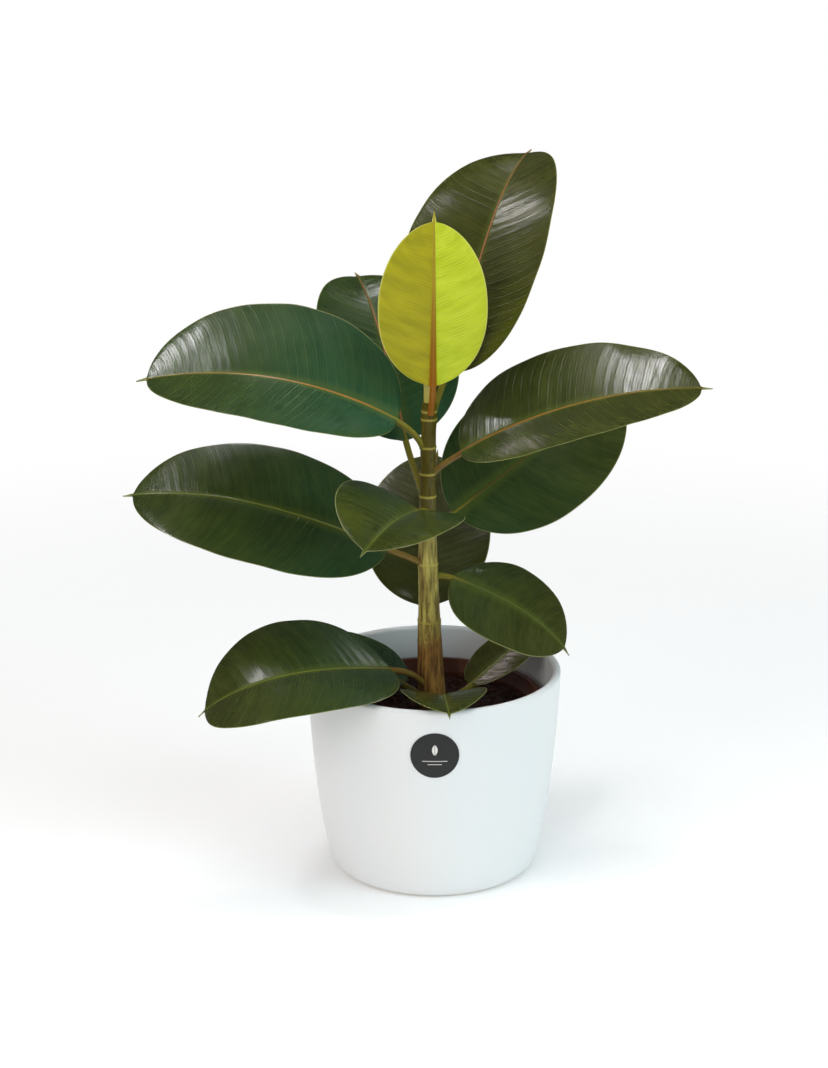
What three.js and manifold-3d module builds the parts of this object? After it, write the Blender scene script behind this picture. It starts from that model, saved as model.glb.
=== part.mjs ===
// A rubber plant (Ficus elastica) in its brown nursery pot, standing in a white ceramic cover pot.
// Millimetres, +Z up. The origin is the middle of the cover pot's underside, and -Y is the front.
import * as THREE from "three";
import { ParametricGeometry } from "three/addons/geometries/ParametricGeometry.js";
import { mergeVertices } from "three/addons/utils/BufferGeometryUtils.js";
import Module from "manifold-3d";

const wasm = await Module();
wasm.setup();

// ---- Driving dimensions ----

const gap = 0.3; // between pieces that touch

const pot = {
  height: 145,
  rimRadius: 90,
  footRadius: 65, // of the flat that it stands on
  heelRadius: 74, // where the foot's rounding meets the wall
  heelHeight: 4,
  bellyRadius: 85.5, // what the wall's curve bends towards
  bellyHeight: 47,
  wall: 5.5,
  floor: 8,
  cornerRadius: 6, // inside, between wall and floor
};

const nursery = {
  rimRadius: 77,
  baseRadius: 55,
  wall: 1.5,
  lip: 2.5, // how far the rim stands out
  lipHeight: 7,
  aboveSoil: 12,
  holes: 5,
  holeRadius: 4,
  holeCircle: 36,
};

const soil = { belowRim: 33, mound: 1.5 };

const label = { radius: 16.5, thickness: 0.3, height: 113 };

const stem = {
  height: 224, // above the soil
  rootDepth: 40, // below it
  baseRadius: 10.5,
  topRadius: 5,
  taper: 1.8,
  foot: -1, // its place along X at the soil
  lean: 3.6,
};

const bud = { radius: 4, length: 36, point: 0.5, lean: 5 };

const blade = { thickness: 1, widest: 0.46, dripLength: 8, dripHalf: 1.5 };
const petiole = { radius: 2.2, ribTip: 0.5, ribEnd: 0.93 };

// Each leaf, from the tip of the stem down. at: its place on the stem, from 0 at the soil to 1 at the tip.
// side, rise: the way its stalk sets out. heading, pitch, roll: the way its blade sets out, in degrees, with
// heading counted from +X towards +Y. arch, bow, twist: how far the blade turns by its tip, bend: how late it
// arches. fold, cup: the angle of each half to the midrib's plane, and how far that turns by the margin.
// overRim: the blade sets out that far above the line to the pot's rim, and grows with the rim.
const plainLeaf = { arch: 0, bow: 0, twist: 0, bend: 1.3, cup: -6, overRim: false, young: false };
const leaves = {
  new_leaf: { at: 0.97, side: 285, rise: 60, stalk: 22, heading: 275, pitch: 84, roll: 0,
    length: 120, width: 75, arch: 8, bend: 1.5, fold: 14, cup: -10, young: true },
  tall_right_leaf: { at: 0.95, side: 60, rise: 55, stalk: 34, heading: 35, pitch: 67, roll: 17,
    length: 184, width: 116, arch: -55, bend: 2.5, bow: 17, fold: 15 },
  upper_left_leaf: { at: 0.86, side: 205, rise: 65, stalk: 27, heading: 184, pitch: 30, roll: -33,
    length: 185, width: 122, arch: -44, bend: 1, bow: 12, twist: 2, fold: 19, cup: -8 },
  upper_right_leaf: { at: 0.78, side: -10, rise: 45, stalk: 24, heading: -5, pitch: 32, roll: 27,
    length: 180, width: 103, arch: -36, bend: 1, bow: -6, fold: 16 },
  tall_left_leaf: { at: 0.705, side: 135, rise: 60, stalk: 40, heading: 121, pitch: 62, roll: -8,
    length: 146, width: 102, arch: -50, bend: 2, bow: -8, fold: 14 },
  front_leaf: { at: 0.66, side: 255, rise: 25, stalk: 16, heading: 252, pitch: 12, roll: -14,
    length: 108, width: 88, arch: -32, fold: 20, cup: -8 },
  back_right_leaf: { at: 0.57, side: 60, rise: 25, stalk: 26, heading: 35, pitch: 26, roll: 50,
    length: 172, width: 104, arch: -5, fold: 8, cup: -2 },
  middle_left_leaf: { at: 0.49, side: 195, rise: 30, stalk: 26, heading: 184, pitch: 24, roll: -36,
    length: 192, width: 106, arch: -42, bend: 1.8, bow: 4, fold: 4, cup: -4 },
  lower_right_leaf: { at: 0.44, side: 20, rise: 10, stalk: 12, heading: -27, pitch: -12, roll: 30,
    length: 104, width: 67, arch: -65, bend: 1.8, fold: 4, cup: -20 },
  back_leaf: { at: 0.27, side: 95, rise: 30, stalk: 18, heading: 92, pitch: 36, roll: 0,
    length: 150, width: 92, arch: -6, bow: -10, fold: 10 },
  lower_left_leaf: { at: 0.1, side: 225, rise: 48, stalk: 34, heading: 214, pitch: 5.5, roll: -17,
    length: 150, width: 106, arch: -76, bend: 1.6, bow: -30, twist: -6, fold: 14, cup: -14, overRim: true },
  low_back_left_leaf: { at: 0.04, side: 165, rise: 45, stalk: 14, heading: 160, pitch: 10, roll: 2,
    length: 92, width: 68, arch: -18, fold: 8, cup: -4, overRim: true },
  low_right_leaf: { at: 0.03, side: 5, rise: 20, stalk: 22, heading: 40, pitch: 8, roll: 5,
    length: 86, width: 42, fold: 10, overRim: true },
  low_front_leaf: { at: 0.03, side: 290, rise: 50, stalk: 15, heading: 274, pitch: 13, roll: 0,
    length: 88, width: 60, arch: -40, bend: 1.2, fold: 12, overRim: true },
};
const shapedForRim = 90; // the rim that the leaves over it are drawn for

// ---- Places that follow from them ----

const soilTop = pot.height - soil.belowRim;
const nurseryRim = soilTop + nursery.aboveSoil;
const nurseryFloor = pot.floor + nursery.wall;

// ---- Finishes ----

const finish = (color, roughness) => new THREE.MeshStandardMaterial({ color, roughness, metalness: 0 });
const glaze = finish(0xe9ebec, 0.3);
const brownPlastic = finish(0x5a3223, 0.55);
const earth = finish(0x2e1a12, 0.95);
const bark = finish(0x75622f, 0.75);
const sheath = finish(0xd9c77a, 0.5);
const deepGreen = finish(0x2f4020, 0.35);
const youngGreen = finish(0xb4bc2e, 0.4);
const blackPaper = finish(0x1a1a1a, 0.6);

// ---- Helpers ----

const { cos, sin, PI, abs, max, min, atan2 } = Math;
const rad = THREE.MathUtils.degToRad;
const mix = THREE.MathUtils.lerp;
const vec = (x, y, z) => new THREE.Vector3(x, y, z);

// A closed geometry as a manifold-3d solid, and back.
function solid(geometry) {
  const bare = geometry.clone().deleteAttribute("normal").deleteAttribute("uv");
  const merged = mergeVertices(bare);
  const vertProperties = merged.getAttribute("position").array;
  const triVerts = new Uint32Array(merged.index.array);
  return new wasm.Manifold(new wasm.Mesh({ numProp: 3, vertProperties, triVerts }));
}

function geometryOf(manifold) {
  const { vertProperties, triVerts } = manifold.getMesh();
  const geometry = new THREE.BufferGeometry();
  geometry.setAttribute("position", new THREE.BufferAttribute(vertProperties, 3));
  geometry.setIndex(new THREE.BufferAttribute(triVerts, 1));
  const flat = geometry.toNonIndexed();
  flat.computeVertexNormals();
  return flat;
}

// A body of revolution about Z, from a profile of [radius, height] points that runs up the outside.
function turned(profile, sides) {
  const points = profile.map(([radius, height]) => new THREE.Vector2(radius, height));
  return new THREE.LatheGeometry(points, sides).rotateX(PI / 2);
}

// A body swept through closed rings of `sides` points, from along = 0 to 1 in `rows` steps. Its first and
// last ring are given twice, once open and once shut to nothing, which closes the ends.
function swept(ringPoint, sides, rows) {
  const place = (u, v, target) => {
    const row = Math.round(v * (rows + 2));
    const along = min(max((row - 1) / rows, 0), 1);
    const open = row > 0 && row < rows + 2;
    target.copy(ringPoint(Math.round(u * sides) % sides, along, open ? 1 : 0));
  };
  return new ParametricGeometry(place, sides, rows + 2);
}

// A round ring point about a centre, in the plane of two unit vectors.
function onRing(centre, across, up, radius, turn) {
  return centre.clone().addScaledVector(across, radius * cos(turn)).addScaledVector(up, radius * sin(turn));
}

// ---- The cover pot, the nursery pot and the soil ----

const wallCurve = new THREE.QuadraticBezierCurve(
  new THREE.Vector2(pot.heelRadius, pot.heelHeight),
  new THREE.Vector2(pot.bellyRadius, pot.bellyHeight),
  new THREE.Vector2(pot.rimRadius, pot.height),
);

// The cover pot's outer radius at a height on its wall.
function potRadius(z) {
  const points = wallCurve.getPoints(60);
  const above = max(1, points.findIndex((point) => point.y >= z));
  const [low, high] = [points[above - 1], points[above]];
  return mix(low.x, high.x, (z - low.y) / (high.y - low.y));
}

// Points of an arc about (x, z), from one angle to another.
function arc(x, z, radius, from, to, steps) {
  const angles = Array.from({ length: steps + 1 }, (_, i) => rad(mix(from, to, i / steps)));
  return angles.map((angle) => [x + radius * cos(angle), z + radius * sin(angle)]);
}

function coverPot() {
  const lip = pot.wall / 2;
  const steps = 7;
  const heights = Array.from({ length: steps + 1 }, (_, i) => mix(pot.heelHeight, pot.height - lip, i / steps));
  const outer = heights.map((z) => [potRadius(z), z]);
  const cornerTop = pot.floor + pot.cornerRadius;
  const inner = heights.filter((z) => z > cornerTop).map((z) => [potRadius(z) - pot.wall, z]).reverse();
  const cornerX = potRadius(cornerTop) - pot.wall - pot.cornerRadius;
  return turned([
    [0, 0],
    [pot.footRadius, 0],
    [mix(pot.footRadius, pot.heelRadius, 0.65), pot.heelHeight * 0.25],
    ...outer,
    ...arc(potRadius(pot.height - lip) - lip, pot.height - lip, lip, 45, 135, 2),
    ...inner,
    ...arc(cornerX, cornerTop, pot.cornerRadius, 0, -90, 3),
    [0, pot.floor],
  ], 44);
}

// The nursery pot's outer radius at a height.
function nurseryRadius(z) {
  return mix(nursery.baseRadius, nursery.rimRadius - nursery.lip, (z - pot.floor) / (nurseryRim - pot.floor));
}

function nurseryPot() {
  const lipFoot = nurseryRim - nursery.lipHeight;
  const shell = solid(turned([
    [0, pot.floor],
    [nursery.baseRadius, pot.floor],
    [nurseryRadius(lipFoot), lipFoot],
    [nursery.rimRadius, lipFoot],
    [nursery.rimRadius, nurseryRim],
    [nurseryRadius(nurseryRim) - nursery.wall, nurseryRim],
    [nurseryRadius(nurseryFloor) - nursery.wall, nurseryFloor],
    [0, nurseryFloor],
  ], 40));
  let pierced = shell;
  for (let i = 0; i < nursery.holes; i++) {
    const drain = new THREE.CylinderGeometry(nursery.holeRadius, nursery.holeRadius, 4 * nursery.wall, 12);
    drain.rotateX(PI / 2).translate(nursery.holeCircle, 0, pot.floor);
    pierced = pierced.subtract(solid(drain.rotateZ((2 * PI * i) / nursery.holes)));
  }
  return geometryOf(pierced);
}

function pottingSoil() {
  const inside = (z) => nurseryRadius(z) - nursery.wall - gap;
  const fill = solid(turned([
    [0, nurseryFloor + gap],
    [inside(nurseryFloor), nurseryFloor + gap],
    [inside(soilTop), soilTop],
    [inside(soilTop) * 0.75, soilTop + soil.mound * 0.6],
    [inside(soilTop) * 0.4, soilTop + soil.mound],
    [0, soilTop + soil.mound],
  ], 40));
  return geometryOf(fill.subtract(solid(stemBody(gap))));
}

// A round sticker that lies on the front of the cover pot's wall.
function potLabel() {
  const band = [-1.2, -0.6, 0, 0.6, 1.2].map((share) => label.height + share * label.radius);
  const skin = (out, z) => [potRadius(z) + out, z];
  const sleeve = turned([
    ...band.map((z) => skin(gap + label.thickness, z)),
    ...band.reverse().map((z) => skin(gap, z)),
    skin(gap + label.thickness, band[band.length - 1]),
  ], 160);
  const punch = new THREE.CylinderGeometry(label.radius, label.radius, pot.rimRadius, 40);
  punch.translate(0, -pot.rimRadius, label.height);
  return geometryOf(solid(sleeve).intersect(solid(punch)));
}

// ---- The stem and its bud ----

// The stem's centre and radius at a height above the soil.
function stemAt(height) {
  const share = height / stem.height;
  const rest = 1 - max(0, min(1, share));
  return {
    centre: vec(stem.foot - stem.lean * sin(0.75 * PI * max(0, share)), 0, soilTop + height),
    radius: stem.topRadius + (stem.baseRadius - stem.topRadius) * rest ** stem.taper,
  };
}

// The stem, grown by `extra` all round when it is used to cut a clearance.
function stemBody(extra) {
  const ringPoint = (index, along, open) => {
    const { centre, radius } = stemAt(mix(-stem.rootDepth - extra, stem.height + extra, along));
    return onRing(centre, vec(1, 0, 0), vec(0, 1, 0), open * (radius + extra), (2 * PI * index) / 14);
  };
  return swept(ringPoint, 14, 16);
}

function terminalBud() {
  const { centre } = stemAt(stem.height);
  const ringPoint = (index, along, open) => {
    const radius = mix(bud.radius, bud.point, along ** 1.6);
    const middle = centre.clone().add(vec(-bud.lean * along ** 2, 0, gap + bud.length * along));
    return onRing(middle, vec(1, 0, 0), vec(0, 1, 0), open * radius, (2 * PI * index) / 10);
  };
  return swept(ringPoint, 10, 10);
}

// ---- The leaves ----

// A leaf's table entry with its defaults, and with what follows from the pot's rim.
function settled(entry) {
  const leaf = { ...plainLeaf, ...entry };
  if (!leaf.overRim) return leaf;
  const climb = pot.height - soilTop - leaf.at * stem.height;
  const toRim = THREE.MathUtils.radToDeg(atan2(climb, pot.rimRadius));
  const growth = pot.rimRadius / shapedForRim;
  return {
    ...leaf,
    pitch: leaf.pitch + toRim,
    stalk: leaf.stalk * growth,
    length: leaf.length * growth,
    width: leaf.width * growth,
  };
}

// The way from a heading and a pitch, both in degrees.
function way(heading, pitch) {
  return vec(cos(rad(pitch)) * cos(rad(heading)), cos(rad(pitch)) * sin(rad(heading)), sin(rad(pitch)));
}

// The midrib: a list of points, each with the blade's frame there (along, left and up).
function midrib(leaf, start) {
  const steps = 48;
  const turn = new THREE.Quaternion();
  turn.setFromEuler(new THREE.Euler(rad(leaf.roll), -rad(leaf.pitch), rad(leaf.heading), "ZYX"));
  const frame = (point) => ({
    point: point.clone(),
    along: vec(1, 0, 0).applyQuaternion(turn),
    left: vec(0, 1, 0).applyQuaternion(turn),
    up: vec(0, 0, 1).applyQuaternion(turn),
  });
  const list = [frame(start)];
  for (let i = 1; i <= steps; i++) {
    const before = list[i - 1];
    const arched = rad(leaf.arch) * ((i / steps) ** leaf.bend - ((i - 1) / steps) ** leaf.bend);
    const step = new THREE.Euler(rad(leaf.twist) / steps, -arched, rad(leaf.bow) / steps, "ZYX");
    turn.multiply(new THREE.Quaternion().setFromEuler(step));
    const here = frame(before.point);
    const onward = before.along.clone().add(here.along).normalize();
    here.point.addScaledVector(onward, leaf.length / steps);
    list.push(here);
  }
  return (share) => {
    const step = min(Math.floor(share * steps), steps - 1);
    const [here, next] = [list[step], list[step + 1]];
    const between = share * steps - step;
    return {
      point: here.point.clone().lerp(next.point, between),
      along: here.along.clone().lerp(next.along, between).normalize(),
      left: here.left.clone().lerp(next.left, between).normalize(),
      up: here.up.clone().lerp(next.up, between).normalize(),
    };
  };
}

// Half the blade's width at a share of its length: an oval that ends in a narrow drip tip.
function halfWidth(leaf, share) {
  const body = 1 - blade.dripLength / leaf.length;
  const x = share / body;
  const baseSide = (1 - abs((blade.widest - x) / blade.widest) ** 2.3) ** 0.52;
  const tipSide = x < 1 ? (1 - abs((x - blade.widest) / (1 - blade.widest)) ** 2.1) ** 0.58 : 0;
  const oval = (leaf.width / 2) * (x < blade.widest ? baseSide : tipSide);
  const drip = share > 0.5 ? min(blade.dripHalf, (blade.dripHalf * (1 - share)) / (1 - body)) : 0;
  return max(oval, drip);
}

// Where the blade's middle surface is, to one side (-1 to 1) of the midrib: each half is an arc.
function onBlade(leaf, frame, half, side) {
  const fold = rad(leaf.fold);
  const turn = rad(leaf.cup);
  const edge = fold + turn * abs(side);
  const out = (half * (sin(edge) - sin(fold))) / turn;
  const rise = (half * (cos(fold) - cos(edge))) / turn;
  return frame.point.clone().addScaledVector(frame.left, Math.sign(side) * out).addScaledVector(frame.up, rise);
}

function bladeBody(leaf, ribAt) {
  const across = 4;
  const rows = 12;
  const ringPoint = (index, along) => {
    const share = (1 - cos(PI * along)) / 2; // rows lie closer at both ends
    const top = index <= across;
    const side = top ? 1 - (2 * index) / across : (2 * (index - across - 1)) / across - 1;
    const frame = ribAt(share);
    const point = onBlade(leaf, frame, halfWidth(leaf, share), side);
    return point.addScaledVector(frame.up, ((top ? 1 : -1) * blade.thickness) / 2);
  };
  return swept(ringPoint, 2 * across + 2, rows);
}

// The stalk and the rib under the blade, as one tapering rod.
function stalkBody(leaf, root, setOut, ribAt) {
  const first = ribAt(0);
  const end = first.point.clone().addScaledVector(first.up, -petiole.radius / 2);
  const curve = new THREE.CubicBezierCurve3(
    root,
    root.clone().addScaledVector(setOut, leaf.stalk / 3),
    end.clone().addScaledVector(first.along, -leaf.stalk / 3),
    end,
  );
  const stalkShare = 0.35; // of the rod's rows
  const ringPoint = (index, along, open) => {
    const onStalk = along < stalkShare;
    const share = max(0, (along - stalkShare) / (1 - stalkShare));
    const frame = ribAt(share * petiole.ribEnd);
    const radius = mix(petiole.radius, petiole.ribTip, share);
    const centre = onStalk
      ? curve.getPoint(along / stalkShare)
      : frame.point.clone().addScaledVector(frame.up, -radius / 2);
    const tangent = onStalk ? curve.getTangent(along / stalkShare) : frame.along;
    const left = frame.left.clone().projectOnPlane(tangent).normalize();
    const up = tangent.clone().cross(left);
    return onRing(centre, left, up, open * radius, (2 * PI * index) / 6);
  };
  return swept(ringPoint, 6, 14);
}

function leafBody(entry) {
  const leaf = settled(entry);
  const { centre, radius } = stemAt(leaf.at * stem.height);
  const root = centre.clone().addScaledVector(way(leaf.side, 0), radius - 1.5);
  const setOut = way(leaf.side, leaf.rise);
  const blend = setOut.clone().add(way(leaf.heading, leaf.pitch)).normalize();
  const ribAt = midrib(leaf, root.clone().addScaledVector(blend, leaf.stalk));
  const whole = solid(bladeBody(leaf, ribAt)).add(solid(stalkBody(leaf, root, setOut, ribAt)));
  return geometryOf(whole.subtract(solid(stemBody(gap))));
}

// ---- The plant in its pot ----

const plant = new THREE.Group();

function add(name, geometry, material) {
  const mesh = new THREE.Mesh(geometry, material);
  mesh.name = name;
  plant.add(mesh);
}

add("pot", coverPot(), glaze);
add("pot_label", potLabel(), blackPaper);
add("nursery_pot", nurseryPot(), brownPlastic);
add("potting_soil", pottingSoil(), earth);
add("stem", stemBody(0), bark);
add("terminal_bud", terminalBud(), sheath);
for (const [name, entry] of Object.entries(leaves)) {
  add(name, leafBody(entry), entry.young ? youngGreen : deepGreen);
}

export default plant;
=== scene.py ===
# %% [markdown]
# # A potted rubber plant
#
# A rubber plant is a good lesson in one idea: a leaf, a stem, a pot and a label are all simple surfaces
# that are rolled, spun or bent, and the finish does the rest. Twenty pieces make the whole object, and
# none of them moves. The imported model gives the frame, so each new piece is built straight in its place.

# %% The frame
import math
import random
from collections import namedtuple

import bmesh
import bpy
from mathutils import Euler, Matrix, Vector, noise


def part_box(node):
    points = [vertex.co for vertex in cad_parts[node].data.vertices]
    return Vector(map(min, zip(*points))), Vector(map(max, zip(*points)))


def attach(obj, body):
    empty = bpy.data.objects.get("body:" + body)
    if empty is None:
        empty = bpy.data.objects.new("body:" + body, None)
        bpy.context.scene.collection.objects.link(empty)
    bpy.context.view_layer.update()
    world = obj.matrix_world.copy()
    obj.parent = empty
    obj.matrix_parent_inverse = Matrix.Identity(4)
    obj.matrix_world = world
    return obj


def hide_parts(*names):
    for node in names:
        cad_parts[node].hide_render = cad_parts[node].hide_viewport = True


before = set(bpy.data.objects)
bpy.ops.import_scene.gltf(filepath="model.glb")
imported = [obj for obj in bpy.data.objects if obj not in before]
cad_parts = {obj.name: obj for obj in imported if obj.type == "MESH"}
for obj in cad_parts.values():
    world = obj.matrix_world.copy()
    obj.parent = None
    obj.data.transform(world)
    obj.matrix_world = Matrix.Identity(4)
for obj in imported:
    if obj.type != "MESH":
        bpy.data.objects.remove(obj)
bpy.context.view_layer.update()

# %% [markdown]
# ## Camera
#
# A product picture of a plant is taken from a little above the pot's rim, so that the soil shows and the
# leaves don't hide each other. A long lens at a metre and a half keeps the pot's sides nearly straight.
# The tilt is given as an angle, because that is what is read off a tripod.

# %% The camera
camera_place = Vector((-0.014, -1.5, 0.698))
camera_tilt = 16.9  # degrees below the horizon
camera_lens = 76.1

eye = bpy.data.cameras.new("camera")
eye.lens = camera_lens
eye.sensor_width = 36
camera = bpy.data.objects.new("camera", eye)
camera.location = camera_place
camera.rotation_euler = (math.radians(90 - camera_tilt), 0, 0)
bpy.context.scene.collection.objects.link(camera)
bpy.context.scene.camera = camera
bpy.context.scene.view_settings.view_transform = "Standard"
print("the camera stands", round(camera_place.length, 3), "m from the pot's foot")

# %% [markdown]
# ## A finish, node by node
#
# Every material here is procedural: noise, bands and colours that are worked out from the place on the
# piece. Wiring nodes by hand is long, so a small class gives each kind of node one short method. A value
# that is passed in may be a number or the output of another node.


# %% Wiring a finish
def paint(red, green, blue):
    """A colour as it looks on a screen, from 0 to 255, as the linear value that a shader wants."""
    shares = [channel / 255 for channel in (red, green, blue)]
    linear = [s / 12.92 if s <= 0.04045 else ((s + 0.055) / 1.055) ** 2.4 for s in shares]
    return (*linear, 1)


class Finish:
    """A procedural material under construction."""

    def __init__(self, name):
        self.material = bpy.data.materials.new(name)
        self.material.use_nodes = True
        self.tree = self.material.node_tree
        self.shader = self.tree.nodes["Principled BSDF"]
        self.place = self.node("ShaderNodeTexCoord").outputs["Object"]

    def fill(self, socket, value):
        if isinstance(value, bpy.types.NodeSocket):
            self.tree.links.new(value, socket)
        else:
            socket.default_value = value

    def node(self, kind, inputs=None, **settings):
        fresh = self.tree.nodes.new(kind)
        for key, value in settings.items():
            setattr(fresh, key, value)
        for key, value in (inputs or {}).items():
            self.fill(fresh.inputs[key], value)
        return fresh

    def math(self, operation, first, second=0.0):
        return self.node("ShaderNodeMath", {0: first, 1: second}, operation=operation).outputs[0]

    def plus(self, first, second):
        return self.math("ADD", first, second)

    def less(self, first, second):
        return self.math("SUBTRACT", first, second)

    def times(self, first, second):
        return self.math("MULTIPLY", first, second)

    def larger(self, first, second):
        return self.math("MAXIMUM", first, second)

    def axis(self, vector, index):
        return self.node("ShaderNodeSeparateXYZ", {0: vector}).outputs[index]

    def attribute(self, name, output="Fac"):
        return self.node("ShaderNodeAttribute", attribute_name=name).outputs[output]

    def ease(self, value, start, end, low=0.0, high=1.0):
        """From low to high, smoothly, as the value goes from start to end."""
        inputs = {"Value": value, "From Min": start, "From Max": end, "To Min": low, "To Max": high}
        return self.node("ShaderNodeMapRange", inputs, interpolation_type="SMOOTHSTEP").outputs[0]

    def noise(self, scale, detail=3.0, stretch=(1, 1, 1), roughness=0.5):
        """Noise from 0 to 1, `scale` grains to the metre, drawn out along an axis by a small stretch."""
        place = self.node("ShaderNodeMapping", {"Vector": self.place, "Scale": stretch}).outputs[0]
        inputs = {"Vector": place, "Scale": scale, "Detail": detail, "Roughness": roughness}
        return self.node("ShaderNodeTexNoise", inputs).outputs[0]

    def streaks(self, veins, side, scale, detail=3.0):
        """Noise drawn out along a leaf's side veins, with `scale` streaks to a vein."""
        place = self.node("ShaderNodeCombineXYZ", {0: veins, 1: self.times(side, 1.5)}).outputs[0]
        inputs = {"Vector": place, "Scale": scale, "Detail": detail}
        return self.node("ShaderNodeTexNoise", inputs).outputs[0]

    def cells(self, scale, stretch=(1, 1, 1)):
        """How far a place is from the middle of the nearest of many random cells."""
        place = self.node("ShaderNodeMapping", {"Vector": self.place, "Scale": stretch}).outputs[0]
        return self.node("ShaderNodeTexVoronoi", {"Vector": place, "Scale": scale}).outputs["Distance"]

    def mix(self, share, first, second):
        """One colour turning into another."""
        inputs = {0: share, 6: first, 7: second}
        return self.node("ShaderNodeMix", inputs, data_type="RGBA").outputs[2]

    def relief(self, height, depth):
        """Raises the surface by up to `depth` metres where the height is 1."""
        inputs = {"Height": height, "Distance": depth, "Strength": 1.0}
        self.fill(self.shader.inputs["Normal"], self.node("ShaderNodeBump", inputs).outputs[0])

    def set(self, **sockets):
        for name, value in sockets.items():
            self.fill(self.shader.inputs[name.replace("_", " ").title()], value)
        return self.material


# %% [markdown]
# ## Floor and light
#
# The plant stands on plain white paper. The paper is a round sheet that fades out at its edge, into a
# white surround. White all round would lay a milky veil over the dark leaves, because a glossy leaf
# mirrors whatever is above it. So the surround is white to the eye and dimmer to everything else, and
# large fill lamps, which nothing mirrors, light the plant. Each highlight then has its own small lamp,
# aimed at its leaf in a narrow beam, so that it gleams in one place and leaves the rest dark.

# %% The floor
floor_radius = 1.3
paper = Finish("white_paper")
from_middle = paper.node("ShaderNodeVectorMath", {0: paper.place}, operation="LENGTH").outputs["Value"]
fade = paper.ease(from_middle, 0.45, floor_radius - 0.05)
paper.set(base_color=paint(250, 250, 250), roughness=0.9, alpha=paper.less(1.0, fade),
          emission_color=(1, 1, 1, 1), emission_strength=0.09)

sheet = bmesh.new()
bmesh.ops.create_circle(sheet, cap_ends=True, segments=96, radius=floor_radius)
floor_mesh = bpy.data.meshes.new("floor")
sheet.to_mesh(floor_mesh)
sheet.free()
floor = bpy.data.objects.new("floor", floor_mesh)
floor_mesh.materials.append(paper.material)
bpy.context.scene.collection.objects.link(floor)
print("the floor is", 2 * floor_radius, "m across")

# %% The surround
surround = bpy.data.worlds.new("surround")
bpy.context.scene.world = surround
surround.use_nodes = True
sky = surround.node_tree
backdrop = sky.nodes["Background"]
backdrop.inputs["Color"].default_value = (1, 1, 1, 1)
seen = sky.nodes.new("ShaderNodeLightPath")
mirrored, brightness = (sky.nodes.new("ShaderNodeMapRange") for _ in range(2))
mirrored.inputs["To Min"].default_value = 0.55  # what lights the plant
mirrored.inputs["To Max"].default_value = 0.07  # what its gloss mirrors
brightness.inputs["To Max"].default_value = 1.0  # what the eye sees
sky.links.new(seen.outputs["Is Glossy Ray"], mirrored.inputs["Value"])
sky.links.new(mirrored.outputs[0], brightness.inputs["To Min"])
sky.links.new(seen.outputs["Is Camera Ray"], brightness.inputs["Value"])
sky.links.new(brightness.outputs[0], backdrop.inputs["Strength"])


# %% The lamps
def softbox(name, place, aim, size, watts, tint, beam=None):
    """A lamp facing a place. Without a beam it is a fill lamp, which nothing mirrors."""
    lamp = bpy.data.lights.new(name, "AREA")
    lamp.shape = "RECTANGLE"
    lamp.size, lamp.size_y = size
    lamp.energy = watts
    lamp.color = tint
    if beam:
        half = math.radians(beam) / 2
        lamp.spread = 2 * half
        lamp.energy *= 1 - half / math.tan(half)  # so that its face is as bright as an open lamp's
    stand = bpy.data.objects.new(name, lamp)
    stand.location = place
    stand.rotation_euler = (Vector(aim) - Vector(place)).to_track_quat("-Z", "Y").to_euler()
    stand.visible_glossy = beam is not None
    bpy.context.scene.collection.objects.link(stand)


middle = (0, 0, 0.3)
cool_white = (1, 0.98, 1)
softbox("top_fill", (-0.1, -0.2, 2.2), middle, (1.4, 1.4), 16, (1, 0.99, 0.97))
softbox("left_fill", (-1.5, -1.5, 1.1), middle, (1.2, 1.2), 13, (1, 0.96, 0.94))
softbox("right_fill", (1.6, -0.9, 0.9), middle, (1.0, 1.2), 14, (0.66, 0.94, 1))
softbox("tip_gleam", (-0.80, -0.06, 1.64), (-0.17, 0, 0.39), (0.18, 0.2), 7, cool_white, beam=16)
softbox("fold_gleam", (-0.50, -0.31, 1.70), (-0.13, 0, 0.38), (0.07, 0.2), 2.2, cool_white, beam=10)
softbox("tall_gleam", (-0.92, 0.63, 1.25), (0.08, 0.06, 0.46), (0.12, 0.24), 2, (1, 0.95, 0.93), beam=18)
softbox("back_gleam", (0.64, 0.84, 1.35), (-0.06, 0.05, 0.43), (0.14, 0.2), 2.2, cool_white, beam=16)
softbox("right_gleam", (0.16, 0.0, 1.78), (0.13, 0, 0.37), (0.3, 0.1), 6, cool_white, beam=18)
softbox("mid_gleam", (-0.1, 0.45, 1.62), (-0.15, 0.03, 0.3), (0.3, 0.14), 4, cool_white, beam=16)
softbox("low_gleam", (-0.43, 0.94, 1.05), (0.06, -0.03, 0.17), (0.14, 0.2), 1, (1, 0.82, 0.86), beam=12)


# %% [markdown]
# ## From a bmesh to a piece
#
# Each piece is made in metres where it stands, so its object stays at the origin. One helper turns a
# finished bmesh into an object, smooths its shading, and tells the frame which solid it stands for. The
# crease angle keeps a real edge crisp while a curved wall stays smooth.


# %% Turning a bmesh into a piece
def piece(form, name, finish, crease=40):
    """Makes a piece from a bmesh, in place of the CAD node of that name."""
    mesh = bpy.data.meshes.new(name)
    form.to_mesh(mesh)
    form.free()
    mesh.shade_smooth()
    mesh.set_sharp_from_angle(angle=math.radians(crease))
    mesh.materials.append(finish)
    made = bpy.data.objects.new(name + "_look", mesh)
    bpy.context.scene.collection.objects.link(made)
    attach(made, "root")
    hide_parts(name)
    print(made.name, len(mesh.polygons), "faces")
    return made


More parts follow.
